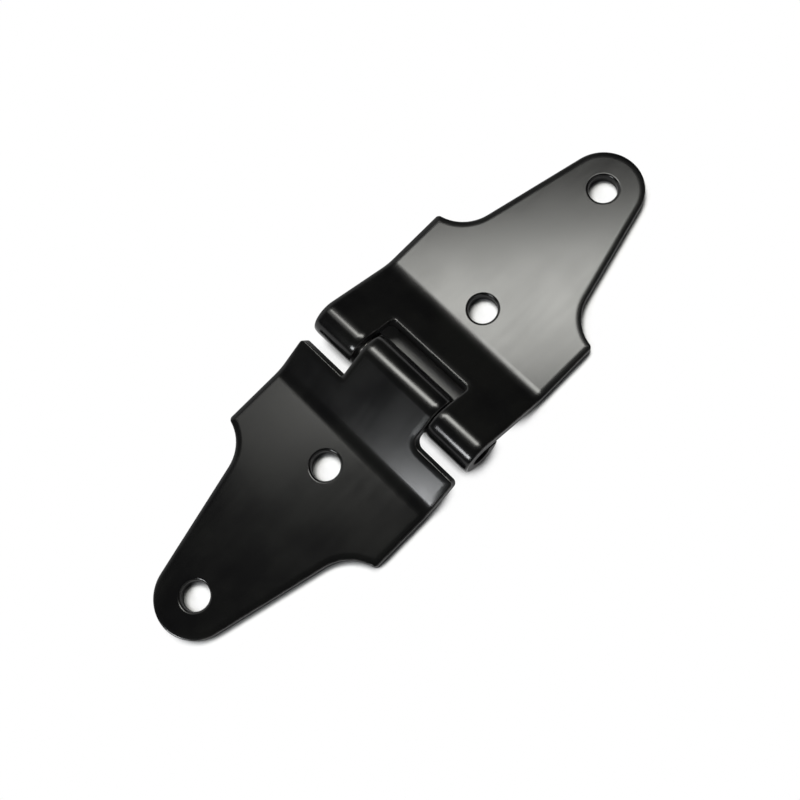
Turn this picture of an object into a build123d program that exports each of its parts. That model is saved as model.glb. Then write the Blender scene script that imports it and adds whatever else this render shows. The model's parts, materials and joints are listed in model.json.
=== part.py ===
from build123d import *
import os
from math import asin, atan2, cos, degrees, hypot, radians, sin, sqrt, tan

# Offset strap hinge, pressed from heavy sheet steel: two tapered leaves that are curled
# round one pin. All sizes are in millimetres. The hinge lies open and flat.
# +X runs along the hinge, towards the leaf with the two outer knuckles, +Y runs along
# the pin, and +Z points away from the faces that are bolted down. The origin lies in
# the plane of those faces, straight under the middle of the pin.

# Sheet
sheet = 3.4                     # thickness of the steel
edge_bevel = 0.55               # bevel of the upper edges, which the punch pulled down

# Pin and barrel
pin_diameter = 6.35
pin_clearance = 0.05            # radial running clearance between pin and knuckles
pin_recess = 0.8                # how far each pin end lies inside the end of the barrel
pin_chamfer = 0.6
barrel_lift = 0.3               # clear height of the barrel above the surface bolted to
curl_angle = 288                # how far the sheet wraps round the pin from the band

# Plan of both leaves, measured from the pin axis
leaf_width = 63.5
waist_radius = 13.5             # hollow corner between the parallel sides and the taper
tip_radius = 12.6               # round end about the outer bolt hole
taper_angle = 14                # each side of the taper to the centreline, in degrees
shoulder_radius = 1.2           # small rounding of the four shoulders
bend_radius = 4.0               # inside radius of the bend between plate and band

# Bolt holes, the same in both leaves
bolt_hole_diameter = 8.8
inner_hole_distance = 33.1
outer_hole_distance = 85.8

# Leaf with the two outer knuckles
outer_bend_distance = 24.2      # where plate and band would meet without a bend radius
outer_shoulder_distance = 46.2  # end of the parallel sides
window_distance = 12.0          # from the pin axis to the window's far edge
window_corner_radius = 1.6

# Leaf with the centre knuckle
centre_bend_distance = 22.2
centre_shoulder_distance = 43.6
tongue_width = 29.3
tongue_shift = -0.35            # the tongue lies this far off centre along the pin
wide_gap = 1.6                  # between the knuckles at the +Y side of the tongue
tight_gap = 0.4                 # between the knuckles at its -Y side
ear_distance = 10.7             # from the pin axis to the edges of the two ears
ear_corner_radius = 1.6
tight_notch_radius = 0.5        # corner between tongue and ear at the +Y side
wide_notch_radius = 2.9         # the same corner at the -Y side

# Derived sizes
half_width = leaf_width / 2
bore_radius = pin_diameter / 2 + pin_clearance
barrel_radius = bore_radius + sheet
axis_height = barrel_radius + barrel_lift
tip_reach = outer_hole_distance + tip_radius
window_width = tongue_width + wide_gap + tight_gap
window_shift = tongue_shift + (wide_gap - tight_gap) / 2
tool_length = 2 * (barrel_radius + ear_distance + window_distance)  # long enough for any cut
size_match = 0.01               # how near a measured size has to be when a face is picked


def band_angle(bend_distance):
    """Slope of the band whose upper face runs from the bend to touch the barrel, in degrees."""
    rise = axis_height - sheet
    return degrees(atan2(rise, bend_distance) + asin(barrel_radius / hypot(bend_distance, rise)))


def band_plane(bend_distance, distance):
    """Plane on the band's upper face: its x runs down the slope and its y along the pin."""
    slope = radians(band_angle(bend_distance))
    height = sheet + (bend_distance - distance) * tan(slope)
    return Plane(
        origin=(distance, 0, height),
        x_dir=(cos(slope), 0, -sin(slope)),
        z_dir=(sin(slope), 0, cos(slope)),
    )


def sheet_section(bend_distance):
    """Side view of a leaf: plate, bend, sloping band and curl, one run above and one below."""
    angle = band_angle(bend_distance)
    bend_start = bend_distance + bend_radius * tan(radians(angle) / 2)
    with BuildSketch(Plane.XZ) as section:
        with BuildLine():
            runs = []
            for depth in (0, sheet):
                bend_centre = (bend_start, sheet + bend_radius)
                bend = CenterArc(bend_centre, bend_radius + depth, -90, -angle)
                curl = CenterArc((0, axis_height), barrel_radius - depth, 90 - angle, curl_angle)
                plate = Line((tip_reach, sheet - depth), bend @ 0)
                Line(bend @ 1, curl @ 0)
                runs.append((plate @ 0, curl @ 1))
            upper, lower = runs
            Line(upper[0], lower[0])
            Line(upper[1], lower[1])
        make_face()
    return section.sketch


def leaf_plan(shoulder_distance):
    """Outline of a leaf from above: parallel sides, hollow waists, taper and round tip."""
    taper = radians(taper_angle)
    along = Vector(cos(taper), -sin(taper))
    outward = Vector(sin(taper), cos(taper))
    shoulder = Vector(shoulder_distance, half_width)
    tip_touch = Vector(outer_hole_distance, 0) + outward * tip_radius
    # The waist's arc starts at the shoulder and runs into the straight side of the taper
    reach = tip_touch + outward * waist_radius - shoulder
    back = reach.dot(along) - sqrt(reach.dot(along) ** 2 - reach.dot(reach) + waist_radius**2)
    waist_touch = tip_touch - along * back
    with BuildSketch() as plan:
        with BuildLine():
            Polyline((-barrel_radius, 0), (-barrel_radius, half_width), shoulder)
            RadiusArc(shoulder, waist_touch, -waist_radius)
            Line(waist_touch, tip_touch)
            RadiusArc(tip_touch, (tip_reach, 0), tip_radius)
            mirror(about=Plane.XZ)
        make_face()
        shoulders = plan.vertices().filter_by(lambda v: abs(v.X - shoulder_distance) < size_match)
        fillet(shoulders, radius=shoulder_radius)
    return plan.sketch


def leaf_blank(bend_distance, shoulder_distance):
    """Sheet as cut, bent and curled over its full width, with its two bolt holes."""
    with BuildPart() as blank:
        extrude(sheet_section(bend_distance), amount=half_width, both=True)
        extrude(leaf_plan(shoulder_distance), amount=tool_length, both=True, mode=Mode.INTERSECT)
        with Locations((inner_hole_distance, 0, sheet), (outer_hole_distance, 0, sheet)):
            Hole(bolt_hole_diameter / 2)
    return blank.part


def upper_rims(leaf):
    """Edges where the leaf's upper faces end, from the tip round to the end of the curl."""

    def is_upper(face):
        if face.geom_type == GeomType.PLANE:
            upward = face.normal_at().Z > abs(face.normal_at().X)
            return upward and face.center().X > barrel_radius
        along_pin = face.axis_of_rotation.is_parallel(Axis.Y)
        return along_pin and any(
            abs(face.radius - radius) < size_match for radius in (barrel_radius, bend_radius)
        )

    edges = leaf.faces().filter_by(is_upper).edges()
    return edges.filter_by(lambda edge: sum(edge.is_same(other) for other in edges) == 1)


os.makedirs("parts", exist_ok=True)

# Leaf with the window: the two strips beside the window are the outer knuckles
with BuildPart() as outer_knuckle_leaf:
    add(leaf_blank(outer_bend_distance, outer_shoulder_distance))
    with BuildSketch(band_plane(outer_bend_distance, window_distance)) as window:
        with Locations((-tool_length / 2, window_shift)):
            Rectangle(tool_length, window_width)
        fillet(window.vertices().group_by(Axis.X)[-1], radius=window_corner_radius)
    extrude(amount=tool_length, both=True, mode=Mode.SUBTRACT)
    chamfer(upper_rims(outer_knuckle_leaf), length=edge_bevel)

outer_knuckle_leaf.part.label = "outer_knuckle_leaf"
export_step(outer_knuckle_leaf.part, "parts/outer_knuckle_leaf.step")

# Leaf with the tongue: drawn on the +X side like the other leaf, and mirrored at the end.
# Beside the tongue the band is cut back to two ears, which leave room for the outer knuckles.
with BuildPart() as centre_knuckle_leaf:
    add(leaf_blank(centre_bend_distance, centre_shoulder_distance))
    for side, notch_radius in ((1, tight_notch_radius), (-1, wide_notch_radius)):
        tongue_edge = tongue_shift + side * tongue_width / 2
        cut_middle = tongue_edge + side * tool_length / 2
        # The barrel is cut straight through, and the band with a rounded corner in the notch
        with BuildSketch():
            with Locations((barrel_radius - tool_length / 2, cut_middle)):
                Rectangle(tool_length, tool_length)
        extrude(amount=tool_length, mode=Mode.SUBTRACT)
        with BuildSketch(band_plane(centre_bend_distance, ear_distance)) as ear_cut:
            with Locations((-tool_length / 2, cut_middle)):
                Rectangle(tool_length, tool_length)
            inner_corner = ear_cut.vertices().sort_by_distance((0, tongue_edge))[0]
            fillet(inner_corner, radius=notch_radius)
        extrude(amount=-sheet, mode=Mode.SUBTRACT)
    through_band = Axis((0, 0, 0), band_plane(centre_bend_distance, ear_distance).z_dir)
    cut_corners = centre_knuckle_leaf.edges().filter_by(through_band)
    ear_tips = cut_corners.filter_by(lambda edge: abs(edge.center().Y) > half_width - size_match)
    fillet(ear_tips, radius=ear_corner_radius)
    chamfer(upper_rims(centre_knuckle_leaf), length=edge_bevel)
    mirror(about=Plane.YZ, mode=Mode.REPLACE)

centre_knuckle_leaf.part.label = "centre_knuckle_leaf"
export_step(centre_knuckle_leaf.part, "parts/centre_knuckle_leaf.step")

# Pin: held in the outer knuckles, with both ends just inside the barrel
with BuildPart() as hinge_pin:
    with BuildSketch(Plane.XZ):
        with Locations((0, axis_height)):
            Circle(pin_diameter / 2)
    extrude(amount=half_width - pin_recess, both=True)
    chamfer(hinge_pin.edges().filter_by(GeomType.CIRCLE), length=pin_chamfer)

hinge_pin.part.label = "hinge_pin"
export_step(hinge_pin.part, "parts/hinge_pin.step")
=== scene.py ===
# %% [markdown]
# An offset strap hinge of pressed steel, lying open and flat.
# The real hinge starts as two flat blanks that are punched out of heavy sheet. Each blank is
# then bent up behind the barrel, and its end is curled round a steel pin. This lesson makes
# the meshes in the same order: draw the outline, punch it, let the edges droop, bend, curl.
# The first cell loads the measured model of the hinge as a fixed frame. Every piece that is
# made here takes its place from that frame.

# %% Load the frame
import bmesh
import bpy
import json
from math import asin, atan2, cos, hypot, pi, radians, sin, sqrt, tan
from mathutils import Matrix, Vector


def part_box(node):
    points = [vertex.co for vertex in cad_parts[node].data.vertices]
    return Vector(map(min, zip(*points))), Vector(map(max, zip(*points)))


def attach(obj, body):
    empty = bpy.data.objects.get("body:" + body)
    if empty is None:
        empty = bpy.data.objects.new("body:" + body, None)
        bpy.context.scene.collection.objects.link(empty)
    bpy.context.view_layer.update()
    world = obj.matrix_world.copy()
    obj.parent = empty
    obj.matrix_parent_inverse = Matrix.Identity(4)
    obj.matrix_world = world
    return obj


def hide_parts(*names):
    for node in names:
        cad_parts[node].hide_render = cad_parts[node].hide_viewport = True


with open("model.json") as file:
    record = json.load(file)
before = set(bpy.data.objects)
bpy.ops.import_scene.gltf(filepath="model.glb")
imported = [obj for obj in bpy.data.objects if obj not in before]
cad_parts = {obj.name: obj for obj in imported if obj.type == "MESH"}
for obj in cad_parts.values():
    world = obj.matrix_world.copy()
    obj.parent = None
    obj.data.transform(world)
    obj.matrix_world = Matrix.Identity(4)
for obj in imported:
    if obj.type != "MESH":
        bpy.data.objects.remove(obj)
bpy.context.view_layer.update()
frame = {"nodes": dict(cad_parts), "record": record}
print("nodes:", sorted(frame["nodes"]))

# %% [markdown]
# Sizes come from the frame where it has them. The box of a leaf tells how far its tip
# reaches, how wide it is and how large its barrel is, and the bolt mounts tell where the
# holes are. What a box can't tell, such as the slope of the taper, is a named value here.

# %% Sizes from the frame
MM = 0.001
outer_low, outer_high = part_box("outer_knuckle_leaf")
pin_low, pin_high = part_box("hinge_pin")
bolts = next(m for m in frame["record"]["mounts"] if m["name"] == "outer_leaf_bolts")

tip_reach = outer_high.x
half_width = outer_high.y
barrel_radius = -outer_low.x
pin_radius = (pin_high.z - pin_low.z) / 2
pin_length = pin_high.y - pin_low.y
axis_height = (pin_high.z + pin_low.z) / 2
hole_radius = bolts["dims"]["hole_r_mm"] * MM
half_spacing = bolts["dims"]["spacing_x_mm"] * MM / 2
inner_hole = bolts["pos_m"][0] - half_spacing
outer_hole = bolts["pos_m"][0] + half_spacing
tip_radius = tip_reach - outer_hole
print("tip reach %.1f mm" % (tip_reach / MM))
print("holes at %.1f and %.1f mm" % (inner_hole / MM, outer_hole / MM))

# %% Sizes of the sheet and its outline
SHEET = 3.4 * MM
TAPER = radians(14)
WAIST_RADIUS = 13.5 * MM
SHOULDER_RADIUS = 1.2 * MM
BEND_RADIUS = 11.0 * MM
CURL = radians(288)
NEAR = 0.01 * MM
print("sheet %.2f mm thick" % (SHEET / MM))

# %% Sizes of each leaf
OUTER_BEND = 24.2 * MM
OUTER_SHOULDER = 46.2 * MM
WINDOW_EDGE = 12.0 * MM
WINDOW_CORNER = 1.6 * MM
WINDOW_SIDES = (-15.4 * MM, 15.9 * MM)

CENTRE_BEND = 22.2 * MM
CENTRE_SHOULDER = 43.6 * MM
TONGUE_SIDES = (-15.0 * MM, 14.3 * MM)
EAR_EDGE = 11.4 * MM
EAR_CORNER = 1.6 * MM
NOTCH_CORNERS = (2.9 * MM, 0.5 * MM)
for name, (low_side, high_side) in (("window", WINDOW_SIDES), ("tongue", TONGUE_SIDES)):
    print(name, "is %.1f mm wide" % ((high_side - low_side) / MM))

# %% [markdown]
# A few helpers keep the modelling short. Selecting by hand with the mouse becomes selecting
# by place: a test is given for faces, edges or points, and whatever passes is selected. All
# the operators after that are the ones that the menus call.

# %% Helpers for selecting and shaping
SMOOTH_BELOW = radians(35)


def begin(name):
    """Name the primitive that was just added, and go to edit mode with points selectable."""
    piece = bpy.context.object
    piece.name = name
    piece.data.name = name
    bpy.ops.object.mode_set(mode="EDIT")
    bpy.ops.mesh.select_mode(type="VERT")
    return piece


def choose(piece, kind, test):
    """Select only the verts, edges or faces of a piece that pass a test."""
    bpy.ops.mesh.select_mode(type=kind)
    bpy.ops.mesh.select_all(action="DESELECT")
    mesh = bmesh.from_edit_mesh(piece.data)
    items = {"VERT": mesh.verts, "EDGE": mesh.edges, "FACE": mesh.faces}[kind]
    for item in items:
        if test(item):
            item.select_set(True)
    mesh.select_flush_mode()
    bmesh.update_edit_mesh(piece.data)


def close_up():
    """Merge doubled points and turn all faces outward."""
    bpy.ops.mesh.select_all(action="SELECT")
    bpy.ops.mesh.remove_doubles(threshold=NEAR / 10)
    bpy.ops.mesh.normals_make_consistent(inside=False)


def finish_piece(piece, body):
    """Shade a finished mesh smooth over its rounds and flat on its flats, and let it ride."""
    bpy.ops.object.mode_set(mode="OBJECT")
    bpy.ops.object.shade_smooth_by_angle(angle=SMOOTH_BELOW)
    bpy.ops.object.modifier_add(type="WEIGHTED_NORMAL")
    piece.modifiers[-1].keep_sharp = True
    bpy.ops.object.modifier_apply(modifier=piece.modifiers[-1].name)
    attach(piece, body)
    piece.select_set(False)
    print(piece.name, "has", len(piece.data.polygons), "faces")


bpy.ops.object.select_all(action="DESELECT")

# %% [markdown]
# The blank of a leaf. One side of the outline is drawn as a line of points: round the tip,
# down the straight taper, through the hollow waist to the shoulder, and along the parallel
# side to the end that will be curled. Extruding a point draws a straight line and spinning
# it draws an arc. The other side is its mirror image, so symmetrize makes it. Drawing points
# is quicker here than cutting a box, because the outline has only six stretches.
# The length of the part that gets bent is measured on the upper face of the sheet.

# %% Lengths of the flat blank
def band_slope(bend):
    """Angle of the band that runs from the bend at this distance to touch the barrel."""
    rise = axis_height - SHEET
    return atan2(rise, bend) + asin(barrel_radius / hypot(bend, rise))


def flat_place(bend, distance):
    """Place on the flat blank of a point on the band, this far from the pin axis."""
    slope = band_slope(bend)
    trim = BEND_RADIUS * tan(slope / 2)
    up_the_band = (bend - distance) / cos(slope) - trim
    return bend + trim - BEND_RADIUS * slope - up_the_band


def curl_start(bend):
    """Place on the flat blank where the band touches the barrel and the curl starts."""
    return flat_place(bend, barrel_radius * sin(band_slope(bend)))


def blank_end(bend):
    """Place on the flat blank of the end that is curled under the pin."""
    return curl_start(bend) - barrel_radius * CURL


for leaf, bend in (("outer", OUTER_BEND), ("centre", CENTRE_BEND)):
    print(leaf, "leaf blank is %.1f mm long" % ((tip_reach - blank_end(bend)) / MM))

# %% Draw and thicken a blank
TIP_STEPS = 20
WAIST_STEPS = 12


def draw_line(run):
    """Extrude the selected point this way."""
    bpy.ops.mesh.extrude_vertices_move(TRANSFORM_OT_translate={"value": run})


def draw_arc(steps, turn, centre):
    """Spin the selected point about a centre (x, y) on the upper face."""
    bpy.ops.mesh.spin(steps=steps, angle=turn, center=(*centre, SHEET), axis=(0, 0, 1))


def leaf_blank(name, bend, shoulder):
    """Flat solid sheet with the outline of a leaf, still without holes."""
    across = Vector((sin(TAPER), cos(TAPER), 0))
    along = Vector((cos(TAPER), -sin(TAPER), 0))
    shoulder_point = Vector((shoulder, half_width, 0))
    tip_touch = Vector((outer_hole, 0, 0)) + across * tip_radius
    reach = tip_touch + across * WAIST_RADIUS - shoulder_point
    back = reach.dot(along) - sqrt(reach.dot(along) ** 2 - reach.length_squared + WAIST_RADIUS**2)
    waist_touch = tip_touch - along * back
    waist_centre = waist_touch + across * WAIST_RADIUS
    waist_turn = (shoulder_point - waist_centre).angle(waist_touch - waist_centre)

    bpy.ops.mesh.primitive_plane_add(size=2 * half_width)
    piece = begin(name)
    bpy.ops.mesh.merge(type="CENTER")
    bpy.ops.transform.translate(value=(tip_reach, 0, SHEET))
    draw_arc(TIP_STEPS, TAPER - pi / 2, (outer_hole, 0))
    draw_line(waist_touch - tip_touch)
    draw_arc(WAIST_STEPS, waist_turn, waist_centre.xy)
    draw_line((blank_end(bend) - shoulder, 0, 0))
    draw_line((0, -half_width, 0))
    bpy.ops.mesh.select_all(action="SELECT")
    bpy.ops.mesh.symmetrize(direction="POSITIVE_Y", threshold=NEAR)
    bpy.ops.mesh.select_all(action="SELECT")
    bpy.ops.mesh.remove_doubles(threshold=NEAR)
    bpy.ops.mesh.dissolve_limited(angle_limit=radians(0.1))
    bpy.ops.mesh.select_all(action="SELECT")
    bpy.ops.mesh.edge_face_add()
    bpy.ops.mesh.extrude_region_move(TRANSFORM_OT_translate={"value": (0, 0, -SHEET)})
    close_up()
    bpy.ops.object.mode_set(mode="OBJECT")
    print(name, "waist steps are %.2f mm" % (waist_turn * WAIST_RADIUS / WAIST_STEPS / MM))
    return piece


# %% [markdown]
# Holes, window and notches are punched through the flat blank. A punch is a cylinder or a
# box whose standing edges are rounded by a bevel. Boolean modifiers cut cleanly here because
# the sheet is still flat, so a punch meets only flat faces.

# %% Cut with a punch
def punch(piece, tool):
    """Cut a tool out of a piece, and remove the tool."""
    bpy.ops.object.mode_set(mode="OBJECT")
    tool.select_set(False)
    bpy.context.view_layer.objects.active = piece
    piece.select_set(True)
    bpy.ops.object.modifier_add(type="BOOLEAN")
    cut = piece.modifiers[-1]
    cut.operation = "DIFFERENCE"
    cut.solver = "EXACT"
    cut.object = tool
    bpy.ops.object.modifier_apply(modifier=cut.name)
    bpy.data.objects.remove(tool)
    piece.select_set(False)


# %% Shapes of the punches
PUNCH_DEPTH = 4 * SHEET
HOLE_SIDES = 72
CORNER_SEGMENTS = 8


def round_punch(place):
    """Cylinder for a bolt hole at this distance from the pin."""
    bpy.ops.mesh.primitive_cylinder_add(
        vertices=HOLE_SIDES, radius=hole_radius, depth=PUNCH_DEPTH, location=(place, 0, SHEET / 2)
    )
    return bpy.context.object


def square_punch(low, high, rounds):
    """Box between two corners (x, y), with some standing edges rounded: {(x, y): radius}."""
    middle = ((low[0] + high[0]) / 2, (low[1] + high[1]) / 2, SHEET / 2)
    bpy.ops.mesh.primitive_cube_add(size=1, location=middle)
    tool = begin("punch")
    size = (high[0] - low[0], high[1] - low[1], PUNCH_DEPTH)
    bpy.ops.transform.resize(value=size, center_override=middle)
    bpy.ops.object.mode_set(mode="OBJECT")
    bpy.ops.object.transform_apply(location=True, rotation=True, scale=True)
    bpy.ops.object.mode_set(mode="EDIT")
    for corner, radius in rounds.items():
        round_corner(tool, corner, radius)
    bpy.ops.object.mode_set(mode="OBJECT")
    return tool


def bevel(width, segments):
    """Round the selected edges."""
    bpy.ops.mesh.bevel(offset=width, segments=segments, affect="EDGES", clamp_overlap=False)


def round_corner(piece, corner, radius):
    """Round the standing edge at (x, y) with an arc of this radius."""
    def stands_there(edge):
        return all(hypot(v.co.x - corner[0], v.co.y - corner[1]) < NEAR for v in edge.verts)

    choose(piece, "EDGE", stands_there)
    bevel(radius, CORNER_SEGMENTS)


print("bolt holes are %.1f mm across" % (2 * hole_radius / MM))

# %% [markdown]
# The punch drags the upper face down before it cuts. So the face droops towards each edge
# over more than two millimetres, always a little steeper, and then turns sharply into the
# wall. On a black gloss this droop is what draws the dark outline of a face. Insets of the
# whole upper face make it, each one raised a little more. The corners are rounded after the
# insets, because an inset can't be wider than the round of an outer corner.

# %% Droop of the upper face
DROOP_RINGS = (0.6 * MM, 0.55 * MM, 0.55 * MM, 0.55 * MM)
DROOP_WIDTH = sum(DROOP_RINGS)
DROOP_DEPTH = 0.3 * MM


def drag_down(piece):
    """Let the upper face droop towards its edges."""
    bpy.context.view_layer.objects.active = piece
    bpy.ops.object.mode_set(mode="EDIT")
    close_up()
    choose(piece, "FACE", lambda face: face.normal.z > 0.5)
    bpy.ops.transform.translate(value=(0, 0, -DROOP_DEPTH))
    drop, covered = DROOP_DEPTH, 0
    for width in DROOP_RINGS:
        covered += width
        next_drop = DROOP_DEPTH * (1 - covered / DROOP_WIDTH) ** 2
        bpy.ops.mesh.inset(thickness=width, depth=drop - next_drop)
        drop = next_drop


print("the face droops %.1f mm over %.2f mm" % (DROOP_DEPTH / MM, DROOP_WIDTH / MM))

# %% [markdown]
# The bolt holes are punched after the droop, so that no inset has to run round them, and
# through a score line each, so that no face is left with a hole in it. Then the rims get
# their rounds: a tight one along the outline, a wide rolled one at the holes, and a small
# break along the lower face, which lies against what the hinge is bolted to.

# %% Bolt holes
def score(*places):
    """Cut across the flat sheet at these places, so that its faces can bend there."""
    for place in places:
        bpy.ops.mesh.select_all(action="SELECT")
        bpy.ops.mesh.bisect(plane_co=(place, 0, 0), plane_no=(1, 0, 0), threshold=NEAR / 10)


def pierce(piece):
    """Punch the two bolt holes."""
    score(inner_hole, outer_hole)
    bpy.ops.object.mode_set(mode="OBJECT")
    for place in (inner_hole, outer_hole):
        punch(piece, round_punch(place))
    bpy.context.view_layer.objects.active = piece
    bpy.ops.object.mode_set(mode="EDIT")
    close_up()


# %% Rounds of the rims
RIM_ROUND = 0.3 * MM
HOLE_ROUND = 0.95 * MM
LOWER_BREAK = 0.15 * MM
RIMS = {
    "outline": (SHEET - DROOP_DEPTH, 1, RIM_ROUND, 3),
    "holes": (SHEET, 1, HOLE_ROUND, 6),
    "lower face": (0, -1, LOWER_BREAK, 2),
}


def round_rims(piece):
    """Round the rims of the outline and of the holes, and break those of the lower face."""
    for height, facing, width, segments in RIMS.values():
        def is_rim(edge):
            level = all(abs(v.co.z - height) < NEAR for v in edge.verts)
            return level and sum(face.normal.z * facing > 0.5 for face in edge.link_faces) == 1

        choose(piece, "EDGE", is_rim)
        bevel(width, segments)
    close_up()


for name, (height, facing, width, segments) in RIMS.items():
    print("rims of the", name, "are rounded by %.2f mm" % (width / MM))

# %% [markdown]
# Bending and curling. The flat sheet is scored across by many parallel cuts, close together.
# Then everything beyond a cut is turned a few degrees about that cut, starting at the free
# end, as a curling die does. The cut nearest the plate comes last, and by then the whole
# knuckle swings up with the band. The turn at the first and last cut of an arc is half a
# step, which keeps the arc tangent to what comes before and after it.

# %% Places and turns of the folds
CURL_STEPS = 72
BEND_STEPS = 14


def fold_lines(bend):
    """Pairs of place and turn, from the free end to the plate."""
    slope = band_slope(bend)
    curl_from, bend_from = curl_start(bend), bend + BEND_RADIUS * tan(slope / 2)
    lines = []
    for i in reversed(range(CURL_STEPS)):
        share = 0.5 if i == 0 else 1
        place = curl_from - i * barrel_radius * CURL / CURL_STEPS
        lines.append((place, -share * CURL / CURL_STEPS))
    for i in reversed(range(BEND_STEPS + 1)):
        share = 0.5 if i in (0, BEND_STEPS) else 1
        place = bend_from - i * BEND_RADIUS * slope / BEND_STEPS
        lines.append((place, share * slope / BEND_STEPS))
    return lines


print("each fold of the curl turns %.1f degrees" % (CURL / CURL_STEPS / radians(1)))

# %% Fold along the lines
def remember_flat(piece, on_blank):
    """Store with each point where it lies on the flat blank, for the materials to read."""
    mesh = bmesh.from_edit_mesh(piece.data)
    flat_layer = mesh.verts.layers.float_vector.new("flat")
    for vertex in mesh.verts:
        vertex[flat_layer] = on_blank(vertex.co)


def fold(piece, lines):
    """Cut the flat sheet along the lines, then turn the part beyond each line about it."""
    score(*(place for place, turn in lines))
    remember_flat(piece, lambda place: place)
    flat = [vertex.co.x for vertex in bmesh.from_edit_mesh(piece.data).verts]
    for place, turn in lines:
        choose(piece, "VERT", lambda vertex: flat[vertex.index] < place - NEAR)
        bpy.ops.transform.rotate(
            value=-turn, orient_axis="Y", orient_type="GLOBAL", center_override=(place, 0, SHEET)
        )
    bpy.ops.mesh.select_all(action="SELECT")
    bpy.ops.mesh.normals_make_consistent(inside=False)


# %% [markdown]
# The leaf with the two outer knuckles. A window is punched through its band and out at its
# end. The strips that stay beside the window become the two knuckles, so one curl makes both.

# %% Leaf with the two outer knuckles
outer_leaf = leaf_blank("outer_leaf_sheet", OUTER_BEND, OUTER_SHOULDER)
window_edge = flat_place(OUTER_BEND, WINDOW_EDGE)
window_start = blank_end(OUTER_BEND) - SHEET
window_rounds = {(window_edge, side): WINDOW_CORNER for side in WINDOW_SIDES}
punch(outer_leaf, square_punch(
    (window_start, WINDOW_SIDES[0]), (window_edge, WINDOW_SIDES[1]), window_rounds
))
drag_down(outer_leaf)
pierce(outer_leaf)
for side in (-half_width, half_width):
    round_corner(outer_leaf, (OUTER_SHOULDER, side), SHOULDER_RADIUS)
round_rims(outer_leaf)
fold(outer_leaf, fold_lines(OUTER_BEND))
outer_leaf.select_set(True)
finish_piece(outer_leaf, "outer_leaf")
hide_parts("outer_knuckle_leaf")

# %% [markdown]
# The leaf with the centre knuckle. Here a notch is punched at each side of the band. That
# leaves a tongue in the middle, which is curled, and an ear at each side of it. The corners
# of the two notches are unequal, as in the photo. The leaf is made on the side of the other
# one, with the same helpers, and mirrored to its own side at the end by a scale of minus one.
# That turns its faces inside out, so they are turned outward again.

# %% Leaf with the centre knuckle
centre_leaf = leaf_blank("centre_leaf_sheet", CENTRE_BEND, CENTRE_SHOULDER)
ear_edge = flat_place(CENTRE_BEND, EAR_EDGE)
notch_start = blank_end(CENTRE_BEND) - SHEET
for tongue_side, outside, corner in zip(TONGUE_SIDES, (-1, 1), NOTCH_CORNERS):
    beyond = outside * (half_width + SHEET)
    low = (notch_start, min(tongue_side, beyond))
    high = (ear_edge, max(tongue_side, beyond))
    punch(centre_leaf, square_punch(low, high, {(ear_edge, tongue_side): corner}))
drag_down(centre_leaf)
pierce(centre_leaf)
for side in (-half_width, half_width):
    round_corner(centre_leaf, (CENTRE_SHOULDER, side), SHOULDER_RADIUS)
    round_corner(centre_leaf, (ear_edge, side), EAR_CORNER)
round_rims(centre_leaf)
fold(centre_leaf, fold_lines(CENTRE_BEND))
bpy.ops.transform.resize(value=(-1, 1, 1), center_override=(0, 0, 0))
bpy.ops.mesh.normals_make_consistent(inside=False)
centre_leaf.select_set(True)
finish_piece(centre_leaf, "centre_leaf")
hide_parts("centre_knuckle_leaf")

# %% [markdown]
# The pin is a length of cold-drawn rod, cropped and dipped together with the leaves. It
# starts as a cylinder. Its two ends get a rounded rim and a low crown, as cropping and
# tumbling leave them, so each end is bevelled, then inset and pushed out a little.

# %% Pin
PIN_SIDES = 96
PIN_RIM = 0.5 * MM
PIN_RIM_SEGMENTS = 5
PIN_CROWN = 0.12 * MM
CROWN_RINGS = (0.15, 0.45)

bpy.ops.mesh.primitive_cylinder_add(
    vertices=PIN_SIDES, radius=pin_radius, depth=pin_length - 2 * PIN_CROWN,
    location=(0, 0, axis_height), rotation=(pi / 2, 0, 0),
)
bpy.ops.object.transform_apply(location=True, rotation=True, scale=True)
pin = begin("pin_rod")
choose(pin, "EDGE", lambda edge: abs(edge.verts[0].co.y - edge.verts[1].co.y) < NEAR)
bpy.ops.mesh.bevel(offset=PIN_RIM, segments=PIN_RIM_SEGMENTS, affect="EDGES")
for end in (-1, 1):
    choose(pin, "FACE", lambda face: face.normal.y * end > 0.99)
    for ring in CROWN_RINGS:
        bpy.ops.mesh.inset(thickness=pin_radius * ring)
        bpy.ops.transform.translate(value=(0, end * PIN_CROWN / len(CROWN_RINGS), 0))
close_up()
remember_flat(pin, lambda place: (place.x, place.y, SHEET))
pin.select_set(True)
finish_piece(pin, "outer_leaf")
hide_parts("hinge_pin")

# %% [markdown]
# Finishes. The hinge has a thin black dip coat. It is smooth enough to mirror a lamp softly,
# but three things break up that mirror image: the skin of the coat has a very fine peel, the
# rolled sheet below it is slightly wavy, and the film is a little cloudy from place to place.
# Each effect is a node group, so that the leaves and the pin share it with their own values.
# A painted picture would be quicker, but it would stretch round the curl. So the patterns
# read an attribute named flat, which is where each point lay on the flat blank.

# %% Helpers for nodes
def feed(tree, node, inputs):
    """Give inputs of a node, by name or number, a value or the socket of another node."""
    for name, value in inputs.items():
        if isinstance(value, bpy.types.NodeSocket):
            tree.links.new(value, node.inputs[name])
        else:
            node.inputs[name].default_value = value


def add_node(tree, kind, inputs=None, **settings):
    """Add a node with these settings and inputs."""
    node = tree.nodes.new(kind)
    for name, value in settings.items():
        setattr(node, name, value)
    feed(tree, node, inputs or {})
    return node


def calc(tree, operation, first, second=0.0, third=0.0):
    """Calculate with up to three values or sockets."""
    inputs = {0: first, 1: second, 2: third}
    return add_node(tree, "ShaderNodeMath", inputs, operation=operation).outputs[0]


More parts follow.
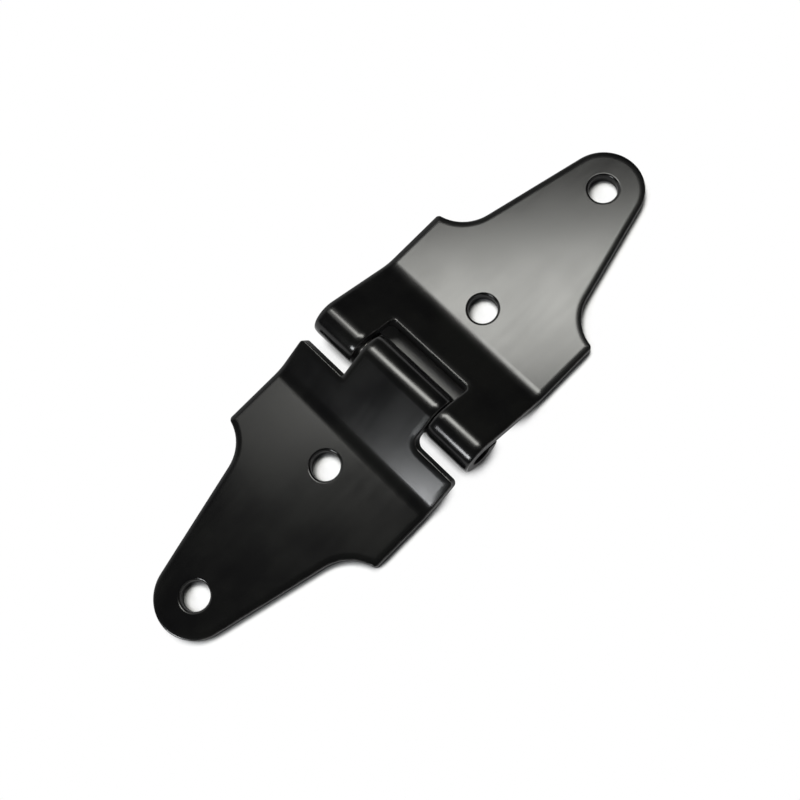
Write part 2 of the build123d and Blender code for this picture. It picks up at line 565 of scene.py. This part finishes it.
def map_range(tree, value, low, high, to_low=0.0, to_high=1.0):
    """Turn the range low to high of a value smoothly into another range."""
    inputs = {
        "Value": value, "From Min": low, "From Max": high, "To Min": to_low, "To Max": to_high,
    }
    node = add_node(tree, "ShaderNodeMapRange", inputs, interpolation_type="SMOOTHSTEP")
    return node.outputs[0]


def mix_colour(tree, share, first, second):
    """Mix two colours by a value."""
    inputs = {"Factor": share, 6: first, 7: second}
    return add_node(tree, "ShaderNodeMix", inputs, data_type="RGBA").outputs[2]


# %% Helpers for patterns
def axes(tree, place):
    """X, Y and Z of a place or direction."""
    return add_node(tree, "ShaderNodeSeparateXYZ", {0: place}).outputs


def stretch(tree, place, scale):
    """Scale a place along its axes. A pattern that reads it gets longer where this is below 1."""
    inputs = {0: place, 1: scale}
    return add_node(tree, "ShaderNodeVectorMath", inputs, operation="MULTIPLY").outputs[0]


def noise(tree, place, size, detail, roughness=0.5):
    """Noise whose lumps are about this size, in metres."""
    scale = calc(tree, "DIVIDE", 1.0, size)
    inputs = {"Vector": place, "Scale": scale, "Detail": detail, "Roughness": roughness}
    return add_node(tree, "ShaderNodeTexNoise", inputs).outputs["Fac"]


# %% Helpers for groups
FLOAT, VECTOR = "NodeSocketFloat", "NodeSocketVector"


def new_group(name, inputs, outputs):
    """Start a shader node group with named inputs and outputs: {name: (socket type, value)}."""
    tree = bpy.data.node_groups.new(name, "ShaderNodeTree")
    for socket, (kind, value) in inputs.items():
        made = tree.interface.new_socket(socket, in_out="INPUT", socket_type=kind)
        if value is not None:
            made.default_value = value
    for socket, kind in outputs.items():
        tree.interface.new_socket(socket, in_out="OUTPUT", socket_type=kind)
    print(name, "takes", list(inputs), "and gives", list(outputs))
    return tree, tree.nodes.new("NodeGroupInput").outputs, tree.nodes.new("NodeGroupOutput")


def use_group(tree, group, inputs):
    """Place a node group with its own values."""
    return add_node(tree, "ShaderNodeGroup", inputs, node_tree=group).outputs


# %% [markdown]
# The film of the coat. Where it dried slower it is a little cloudy, in soft lumps, and it
# follows the faint streaks that rolling left in the sheet. Two noises give these as masks.
# The second is stretched along the sheet, because streaks run the way the sheet was rolled.

# %% Cloudy film
CLOUD_RANGE = (0.32, 0.68)
STREAK_RANGE = (0.3, 0.7)
ALONG_THE_SHEET = (0.12, 1.0, 1.0)

cloudy_film, given, result = new_group(
    "cloudy_film",
    {"Place": (VECTOR, None), "Cloud Size": (FLOAT, 14 * MM), "Streak Size": (FLOAT, 2.5 * MM)},
    {"Cloud": FLOAT, "Streak": FLOAT},
)
tree = cloudy_film
cloud = noise(tree, given["Place"], given["Cloud Size"], 3.0)
rolled = stretch(tree, given["Place"], ALONG_THE_SHEET)
streak = noise(tree, rolled, given["Streak Size"], 2.0)
feed(tree, result, {
    "Cloud": map_range(tree, cloud, *CLOUD_RANGE),
    "Streak": map_range(tree, streak, *STREAK_RANGE),
})

# %% [markdown]
# The relief of the coat. The peel and the wave are far too shallow to be modelled, at most a
# hundredth of a millimetre, but a lamp's mirror image shows them. So they are one height,
# which each material passes to its bump node.

# %% Coat relief
WAVE_ROUGHNESS = 0.3

coat_relief, given, result = new_group(
    "coat_relief",
    {
        "Place": (VECTOR, None),
        "Peel Size": (FLOAT, 0.5 * MM), "Peel Depth": (FLOAT, 0.0004 * MM),
        "Wave Size": (FLOAT, 11 * MM), "Wave Depth": (FLOAT, 0.01 * MM),
    },
    {"Height": FLOAT},
)
tree = coat_relief
peel = noise(tree, given["Place"], given["Peel Size"], 1.0)
wave = noise(tree, given["Place"], given["Wave Size"], 1.0, WAVE_ROUGHNESS)
peel_height = calc(tree, "MULTIPLY", peel, given["Peel Depth"])
height = calc(tree, "MULTIPLY_ADD", wave, given["Wave Depth"], peel_height)
feed(tree, result, {"Height": height})

# %% [markdown]
# On every rounded rim the coat runs thin, and handling polishes it there. The attribute flat
# also knows how deep a point lies below the upper face, so the rim is found by depth: it is
# the ridge between the drooping face and the wall. A noise breaks the wear up.

# %% Edge wear
RIDGE_STARTS = (0.3, 0.5)
RIDGE_ENDS = (0.7, 1.1)
WEAR_FROM, WEAR_TO = 0.6, 0.1

edge_wear, given, result = new_group(
    "edge_wear",
    {
        "Place": (VECTOR, None), "Top": (FLOAT, SHEET), "Roll": (FLOAT, DROOP_DEPTH + RIM_ROUND),
        "Patch Size": (FLOAT, 3 * MM), "Coverage": (FLOAT, 0.4),
    },
    {"Wear": FLOAT},
)
tree = edge_wear
depth = calc(tree, "SUBTRACT", given["Top"], axes(tree, given["Place"])["Z"])
down_the_rim = calc(tree, "DIVIDE", depth, given["Roll"])
entering = map_range(tree, down_the_rim, *RIDGE_STARTS)
leaving = map_range(tree, down_the_rim, *RIDGE_ENDS, 1.0, 0.0)
ridge = calc(tree, "MULTIPLY", entering, leaving)
patches = noise(tree, given["Place"], given["Patch Size"], 3.0)
spared = calc(tree, "SUBTRACT", 1.0, given["Coverage"])
first_wear = calc(tree, "MULTIPLY", spared, WEAR_FROM)
full_wear = calc(tree, "ADD", spared, WEAR_TO)
patchy = map_range(tree, patches, first_wear, full_wear)
feed(tree, result, {"Wear": calc(tree, "MULTIPLY", ridge, patchy)})

# %% [markdown]
# The black coat. Its colour hardly changes, but its roughness does, and on a black surface
# that is what the eye reads. The cut edges of punched sheet are torn, so the coat is much
# rougher there, with fine upright lines that it doesn't fill. The depth below the upper face
# tells where the cut begins, and a noise that is stretched upright makes the lines.

# %% Masks of the black coat
COAT_SPECULAR = 0.3


def new_finish(name):
    """Start a material, and give its tree and its shader too."""
    material = bpy.data.materials.new(name)
    material.use_nodes = True
    return material, material.node_tree, material.node_tree.nodes["Principled BSDF"]


black_coat, tree, shader = new_finish("black_coat")
shader.inputs["Specular IOR Level"].default_value = COAT_SPECULAR
on_sheet = add_node(tree, "ShaderNodeAttribute", attribute_name="flat").outputs["Vector"]
film = use_group(tree, cloudy_film, {"Place": on_sheet})
wear = use_group(tree, edge_wear, {"Place": on_sheet})["Wear"]
relief = use_group(tree, coat_relief, {"Place": on_sheet})["Height"]
sheet_depth = calc(tree, "SUBTRACT", SHEET, axes(tree, on_sheet)["Z"])
on_cut = map_range(tree, sheet_depth, 2 * RIM_ROUND, HOLE_ROUND)

# %% Colour and roughness of the black coat
COAT_BLACK = (0.0028, 0.0028, 0.003, 1)
COAT_GREY = (0.0045, 0.0046, 0.0044, 1)
COAT_THIN = (0.03, 0.029, 0.028, 1)
COAT_ROUGHNESS = 0.155
CLOUD_ROUGHER, STREAK_ROUGHER, WEAR_ROUGHER, CUT_ROUGHER = 0.03, 0.02, 0.12, 0.4

colour = mix_colour(tree, film["Cloud"], COAT_BLACK, COAT_GREY)
roughness = COAT_ROUGHNESS
for mask, rougher in (
    (film["Cloud"], CLOUD_ROUGHER), (film["Streak"], STREAK_ROUGHER),
    (wear, WEAR_ROUGHER), (on_cut, CUT_ROUGHER),
):
    roughness = calc(tree, "MULTIPLY_ADD", mask, rougher, roughness)
feed(tree, shader, {
    "Base Color": mix_colour(tree, wear, colour, COAT_THIN), "Roughness": roughness,
})
print("the coat's roughness starts at", COAT_ROUGHNESS)

# %% Relief of the black coat
UPRIGHT = (1.0, 1.0, 0.12)
CUT_LINE_SIZE = 0.22 * MM
CUT_LINE_DEPTH = 0.02 * MM


def raise_surface(tree, shader, height):
    """Bump the surface of a material by a height in metres."""
    bump = add_node(tree, "ShaderNodeBump", {"Strength": 1.0, "Distance": 1.0, "Height": height})
    feed(tree, shader, {"Normal": bump.outputs["Normal"]})


cut_noise = noise(tree, stretch(tree, on_sheet, UPRIGHT), CUT_LINE_SIZE, 2.0)
cut_lines = calc(tree, "MULTIPLY", cut_noise, on_cut)
raise_surface(tree, shader, calc(tree, "MULTIPLY_ADD", cut_lines, CUT_LINE_DEPTH, relief))
print("lines on the cut edges are %.2f mm wide" % (CUT_LINE_SIZE / MM))

# %% [markdown]
# The pin is bare drawn steel where it turns in the knuckles, with fine lines along it. Its
# two end faces were dipped with the hinge, so there the coat covers the steel. The place
# along the pin decides which of the two is seen.

# %% Pin steel
STEEL = (0.3, 0.29, 0.28, 1)
STEEL_ROUGHNESS = 0.25
STEEL_STREAKS_ROUGHER = 0.15
BARE_FROM, BARE_TO = 1.2 * PIN_RIM, 2 * PIN_RIM
PIN_FILM = {"Cloud Size": 4 * MM, "Streak Size": 0.3 * MM}
PIN_RELIEF = {"Peel Depth": 0.001 * MM, "Wave Size": 3 * MM, "Wave Depth": 0.01 * MM}

pin_steel, tree, shader = new_finish("pin_steel")
shader.inputs["Specular IOR Level"].default_value = COAT_SPECULAR
on_pin = add_node(tree, "ShaderNodeAttribute", attribute_name="flat").outputs["Vector"]
along_pin = calc(tree, "ABSOLUTE", axes(tree, on_pin)["Y"])
bare = map_range(tree, calc(tree, "SUBTRACT", pin_length / 2, along_pin), BARE_FROM, BARE_TO)
film = use_group(tree, cloudy_film, {"Place": on_pin, **PIN_FILM})
coated = mix_colour(tree, film["Cloud"], COAT_BLACK, COAT_GREY)
streaks = calc(tree, "MULTIPLY_ADD", film["Streak"], STEEL_STREAKS_ROUGHER, STEEL_ROUGHNESS)
feed(tree, shader, {
    "Base Color": mix_colour(tree, bare, coated, STEEL), "Metallic": bare, "Roughness": streaks,
})
relief = use_group(tree, coat_relief, {"Place": on_pin, **PIN_RELIEF})["Height"]
raise_surface(tree, shader, relief)
print("the steel is bare from %.1f mm inside each end" % (BARE_FROM / MM))

# %% Put the finishes on
for piece, material in ((outer_leaf, black_coat), (centre_leaf, black_coat), (pin, pin_steel)):
    piece.data.materials.clear()
    piece.data.materials.append(material)
    print(piece.name, "wears", material.name)

# %% [markdown]
# The floor. In the photo it is pure white, with only a soft shadow close to the hinge. More
# light would make it white too, but it would wash out the hinge. So the floor is matt only
# where the hinge is near, and everywhere else it shows white to the rays of the camera and
# of mirror images. Ambient occlusion measures how near the hinge is. The direction it looks
# in leans to one side, so that the shadow falls to the other side, as in the photo. Right at
# the contact a painted shadow makes the floor's own colour dark grey, so it is darker still.
# Through the window the photo is dark. By itself this floor shows white there, and a plain matt
# one stays lighter than the photo too, under these lamps. So a soft grey patch is painted on
# the floor under the window, in the tone that matches the photo. It is only a stand-in,
# because what makes the window dark in the photo isn't known.

# %% Floor
FLOOR_SIZE = 4
FLOOR_WHITE = 0.96
PATCH_GREY = 0.17
PATCH_BLUR = 2 * MM
WINDOW_PATCH = {"X": (8 * MM, 7 * MM), "Y": (1.5 * MM, 20 * MM)}

bpy.ops.mesh.primitive_plane_add(size=FLOOR_SIZE)
floor = bpy.context.object
floor.name = "studio_floor"
floor_white, tree, shader = new_finish("floor_white")
tree.nodes.remove(shader)
floor_place = axes(tree, add_node(tree, "ShaderNodeTexCoord").outputs["Object"])
patch = 1.0
for axis, (middle, reach) in WINDOW_PATCH.items():
    away = calc(tree, "ABSOLUTE", calc(tree, "SUBTRACT", floor_place[axis], middle))
    inside = map_range(tree, away, reach - PATCH_BLUR, reach, 1.0, 0.0)
    patch = calc(tree, "MULTIPLY", patch, inside)
floor.data.materials.append(floor_white)
print(floor.name, "is %.0f m wide" % FLOOR_SIZE)

# %% Shadow on the floor
SHADOW_REACH = 6 * MM
SHADOW_SAMPLES = 16
LEANING = {"X": 0.0, "Y": 0.4, "Z": 0.92}
# Dark grey of the painted shadow in the floor's colour, right at the contact.
CONTACT_SHADOW_GREY = 0.08
CONTACT_AIR = (0.33, 0.62)
SHADOW_AIR = (0.42, 0.79)


def grey(level):
    """Colour that is equally strong in red, green and blue."""
    return (level, level, level, 1)


lit_side = add_node(tree, "ShaderNodeCombineXYZ", LEANING).outputs[0]
inputs = {"Distance": SHADOW_REACH, "Normal": lit_side}
nearness = add_node(tree, "ShaderNodeAmbientOcclusion", inputs, samples=SHADOW_SAMPLES)
open_air = nearness.outputs["AO"]
# Painted shadow: near the contact the floor's own colour goes to dark grey, on top of the real
# shading.
away_from_contact = map_range(tree, open_air, *CONTACT_AIR)
shaded = mix_colour(tree, away_from_contact, grey(CONTACT_SHADOW_GREY), grey(FLOOR_WHITE))
floor_colour = mix_colour(tree, patch, shaded, grey(PATCH_GREY))
print("the shadow reaches %.0f mm" % (SHADOW_REACH / MM))

# %% White of the floor
matt = add_node(tree, "ShaderNodeBsdfDiffuse", {"Color": floor_colour})
glow = add_node(tree, "ShaderNodeEmission", {"Color": (1, 1, 1, 1), "Strength": 1.0})
path_kind = add_node(tree, "ShaderNodeLightPath").outputs
seen = calc(tree, "MAXIMUM", path_kind["Is Camera Ray"], path_kind["Is Glossy Ray"])
seen = calc(tree, "MAXIMUM", seen, path_kind["Is Transmission Ray"])
share = calc(tree, "MULTIPLY", seen, map_range(tree, open_air, *SHADOW_AIR))
share = calc(tree, "MULTIPLY", share, calc(tree, "SUBTRACT", 1.0, patch))
mixed = add_node(tree, "ShaderNodeMixShader", {0: share, 1: matt.outputs[0], 2: glow.outputs[0]})
feed(tree, tree.nodes["Material Output"], {"Surface": mixed.outputs[0]})
print(floor_white.name, "has", len(tree.nodes), "nodes")

# %% [markdown]
# The lamps. Black gloss shows only what it mirrors, so each lamp hangs where one face of the
# hinge mirrors it to the camera. The key softbox is seen in the flat leaf at +X. It is four
# lamps of growing size at one place, because a single one would have a hard edge, and in the
# photo the light fades out softly. A weak tail beside it is seen in the flat leaf at -X, and
# a small lamp low at -X in one end of that leaf's band. The camera doesn't see the lamps.

# %% Softbox
LAMP_DISTANCE = 0.65


def softbox(name, place, size, watts, colour, along=(1, 0)):
    """Rectangular lamp that faces the hinge from the direction whose plan is (x, y)."""
    lamp = bpy.data.lights.new(name, "AREA")
    lamp.shape = "RECTANGLE"
    lamp.size, lamp.size_y = size
    lamp.energy = watts
    lamp.color = colour
    holder = bpy.data.objects.new(name, lamp)
    bpy.context.scene.collection.objects.link(holder)
    x, y = place
    back = Vector((x, y, sqrt(1 - x * x - y * y)))
    side = Vector((*along, 0)).cross(back).normalized()
    turned = Matrix((side.cross(back) * -1, side * -1, back)).transposed()
    holder.matrix_world = Matrix.Translation(back * LAMP_DISTANCE) @ turned.to_4x4()
    holder.visible_camera = False
    print(name, "gives", watts, "W")


# %% Lamps
KEY_PLACE = (0.298, 0.232)
KEY_ALONG = (0.74, -0.67)
WARM = (1, 1, 0.95)
COOL = (0.96, 0.98, 1)
for name, size, watts in (
    ("key_core", (0.26, 0.10), 1.7), ("key_middle", (0.34, 0.17), 1.5),
    ("key_edge", (0.44, 0.25), 0.45), ("key_halo", (0.6, 0.5), 0.15),
):
    softbox(name, KEY_PLACE, size, watts, WARM, KEY_ALONG)
softbox("key_tail", (0.03, 0.42), (0.2, 0.16), 0.2, WARM)
softbox("low_lamp", (-0.82, 0.035), (0.13, 0.19), 2.45, COOL)

# %% [markdown]
# The room. A pale wall stands far off at each long side of the hinge, and rounds mirror it
# as a bright line. The ceiling is dark, and that keeps the bands black. The walls aren't
# built: the world is brighter where it is seen in their direction. To the camera the world
# is white, and so is a low strip at the horizon in mirror images, to go on from the floor.

# %% Walls of the room
CEILING = 0.015
WALL_AT_PLUS_Y, WALL_AT_MINUS_Y = 1.2, 0.4
WALL_FROM, WALL_TO = 0.52, 0.68

world = bpy.data.worlds.new("studio_room")
bpy.context.scene.world = world
world.use_nodes = True
tree = world.node_tree
towards = axes(tree, add_node(tree, "ShaderNodeTexCoord").outputs["Generated"])
plus_y = map_range(tree, towards["Y"], WALL_FROM, WALL_TO, CEILING, WALL_AT_PLUS_Y)
minus_y = map_range(tree, towards["Y"], -WALL_TO, -WALL_FROM, WALL_AT_MINUS_Y, 0.0)
level = calc(tree, "ADD", plus_y, minus_y)
print("walls at", WALL_AT_PLUS_Y, "and", WALL_AT_MINUS_Y, "with the ceiling at", CEILING)

# %% White backdrop
HORIZON_STRIP = (0.04, 0.1)

path_kind = add_node(tree, "ShaderNodeLightPath").outputs
mirrored = calc(tree, "MAXIMUM", path_kind["Is Glossy Ray"], path_kind["Is Transmission Ray"])
low_down = map_range(tree, towards["Z"], *HORIZON_STRIP, 1.0, 0.0)
mirrored = calc(tree, "MULTIPLY", mirrored, low_down)
backdrop = calc(tree, "MAXIMUM", path_kind["Is Camera Ray"], mirrored)
rest = calc(tree, "MULTIPLY", level, calc(tree, "SUBTRACT", 1.0, backdrop))
feed(tree, tree.nodes["Background"], {
    "Color": (1, 1, 1, 1), "Strength": calc(tree, "ADD", rest, backdrop),
})
print(world.name, "has", len(tree.nodes), "nodes")

# %% [markdown]
# The camera looks almost straight down. Its place and its turn were fitted to the corners
# and the bolt holes in the photo, together with the sizes of the hinge. The turn is written
# as three directions, to the right, down and forward in the picture, because a fit gives
# those, and because they can't be confused as the order of three angles can.

# %% Camera
CAMERA_PLACE = Vector((-33.47, -82.34, 285.6)) * MM
RIGHT = Vector((0.70422, -0.6988, -0.1255))
DOWN = Vector((-0.70289, -0.66129, -0.26201))
FORWARD = Vector((0.1001, 0.27273, -0.95687))
LENS, SENSOR = 45, 36

turn = Matrix((RIGHT, -DOWN, -FORWARD)).transposed()
camera = bpy.data.cameras.new("camera")
camera.lens = LENS
camera.sensor_width = SENSOR
camera_holder = bpy.data.objects.new("camera", camera)
bpy.context.scene.collection.objects.link(camera_holder)
camera_holder.matrix_world = Matrix.Translation(CAMERA_PLACE) @ turn.to_4x4()
bpy.context.scene.camera = camera_holder
bpy.context.scene.view_settings.view_transform = "Standard"
print("the camera hangs %.0f mm above the floor" % (CAMERA_PLACE.z / MM))
